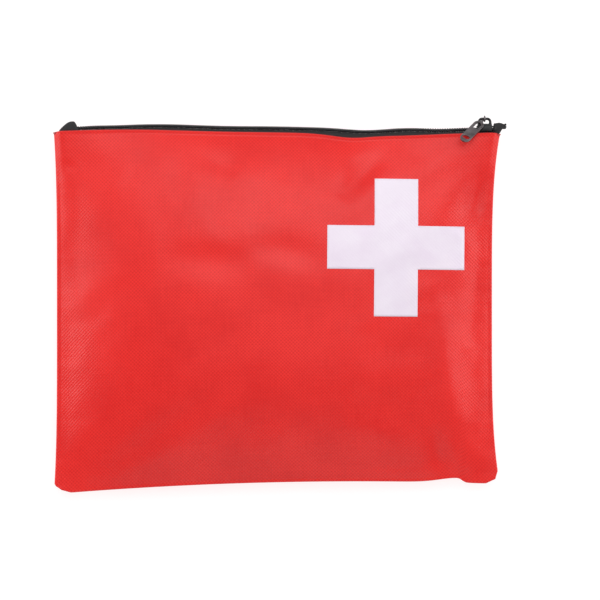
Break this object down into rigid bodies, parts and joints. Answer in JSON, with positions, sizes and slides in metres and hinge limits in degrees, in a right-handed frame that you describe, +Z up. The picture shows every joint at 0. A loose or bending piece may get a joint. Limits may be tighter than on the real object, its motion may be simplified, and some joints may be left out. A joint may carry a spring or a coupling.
{
  "type": "first aid kit",
  "caption": "Flat zip pouch of coated woven fabric with a plain cross on its front, holding rolled bandages, packed dressings, scissors and tweezers.",
  "frame": {"origin": "on the resting surface, at the middle of the pouch's flat back face", "axes": "+X along the zip towards its closed end, +Y from the bottom seam to the zip, +Z up through the front panel"},
  "size_m": [0.235, 0.193, 0.034],
  "materials": {
    "red_fabric": "coated plain weave with a soft sheen",
    "white_film": "thin printed film",
    "binding": "ribbed tape",
    "thread": "twisted thread",
    "zip_tape": "woven tape",
    "zip_coil": "nylon coil",
    "zip_metal": "dark plated",
    "gauze": "wound open gauze",
    "cohesive": "wound crinkled bandage",
    "spool": "moulded",
    "fixing_tape": "wound tape",
    "metal_film": "folded metallised film in a clear bag",
    "white_cloth": "folded calico",
    "white_paper": "sealed paper",
    "glove_bag": "folded film",
    "plaster_card": "folding box",
    "sachet_foil": "sealed foil sachet",
    "steel": "brushed",
    "grip": "moulded"
  },
  "bodies": {
    "pouch": {"back_panel": "red_fabric", "front_panel": "red_fabric", "cross_emblem": "white_film", "seam_binding_left": "binding", "seam_binding_right": "binding", "seam_binding_bottom": "binding", "seam_thread": "thread", "zip_tape_back": "zip_tape", "zip_tape_front_ends": "zip_tape", "zip_stitching": "thread", "zip_coil_back": "zip_coil", "zip_coil_front_ends": "zip_coil", "zip_top_stops": "zip_metal", "zip_bottom_stop": "zip_metal", "gauze_roll_lower": "gauze", "gauze_roll_upper": "gauze", "cohesive_roll": "cohesive", "tape_spool": "spool", "fixing_tape": "fixing_tape", "rescue_blanket": "metal_film", "triangular_bandage": "white_cloth", "compress_packs": "white_paper", "gloves_pack": "glove_bag", "plaster_pack": "plaster_card", "wipe_sachets": "sachet_foil", "tweezers": "steel", "leaflet": "white_paper", "scissor_blade_lower": "steel", "scissor_grip_lower": "grip", "scissor_rivet": "steel"},
    "mouth_flap": {"front_panel_mouth": "red_fabric", "zip_tape_front": "zip_tape", "zip_coil_front": "zip_coil"},
    "slider": {"zip_slider": "zip_metal", "slider_bridge": "zip_metal"},
    "tab": {"pull_tab": "zip_metal"},
    "scissors_upper_half": {"scissor_blade_upper": "steel", "scissor_grip_upper": "grip"}
  },
  "joints": [
    {"name": "slider_travel", "type": "slide", "parent": "pouch", "child": "slider", "axis": [-1, 0, 0], "range_m": [0, 0.205]},
    {"name": "mouth_open", "type": "hinge", "parent": "pouch", "child": "mouth_flap", "pos_m": [0, -0.07025, 0.023], "axis": [1, 0, 0], "range_deg": [0, 13.8]},
    {"name": "pull_tab_swing", "type": "hinge", "parent": "slider", "child": "tab", "pos_m": [0.108, 0.0992, 0.011], "axis": [-1, 0, 0], "range_deg": [0, 160]},
    {"name": "scissors_open", "type": "hinge", "parent": "pouch", "child": "scissors_upper_half", "pos_m": [0.002, -0.006, 0.027], "axis": [0, 0, 1], "range_deg": [0, 40]}
  ],
  "couplings": [
    {"joint": "mouth_open", "follows": "slider_travel", "rad_per_m": 1.1707}
  ]
}
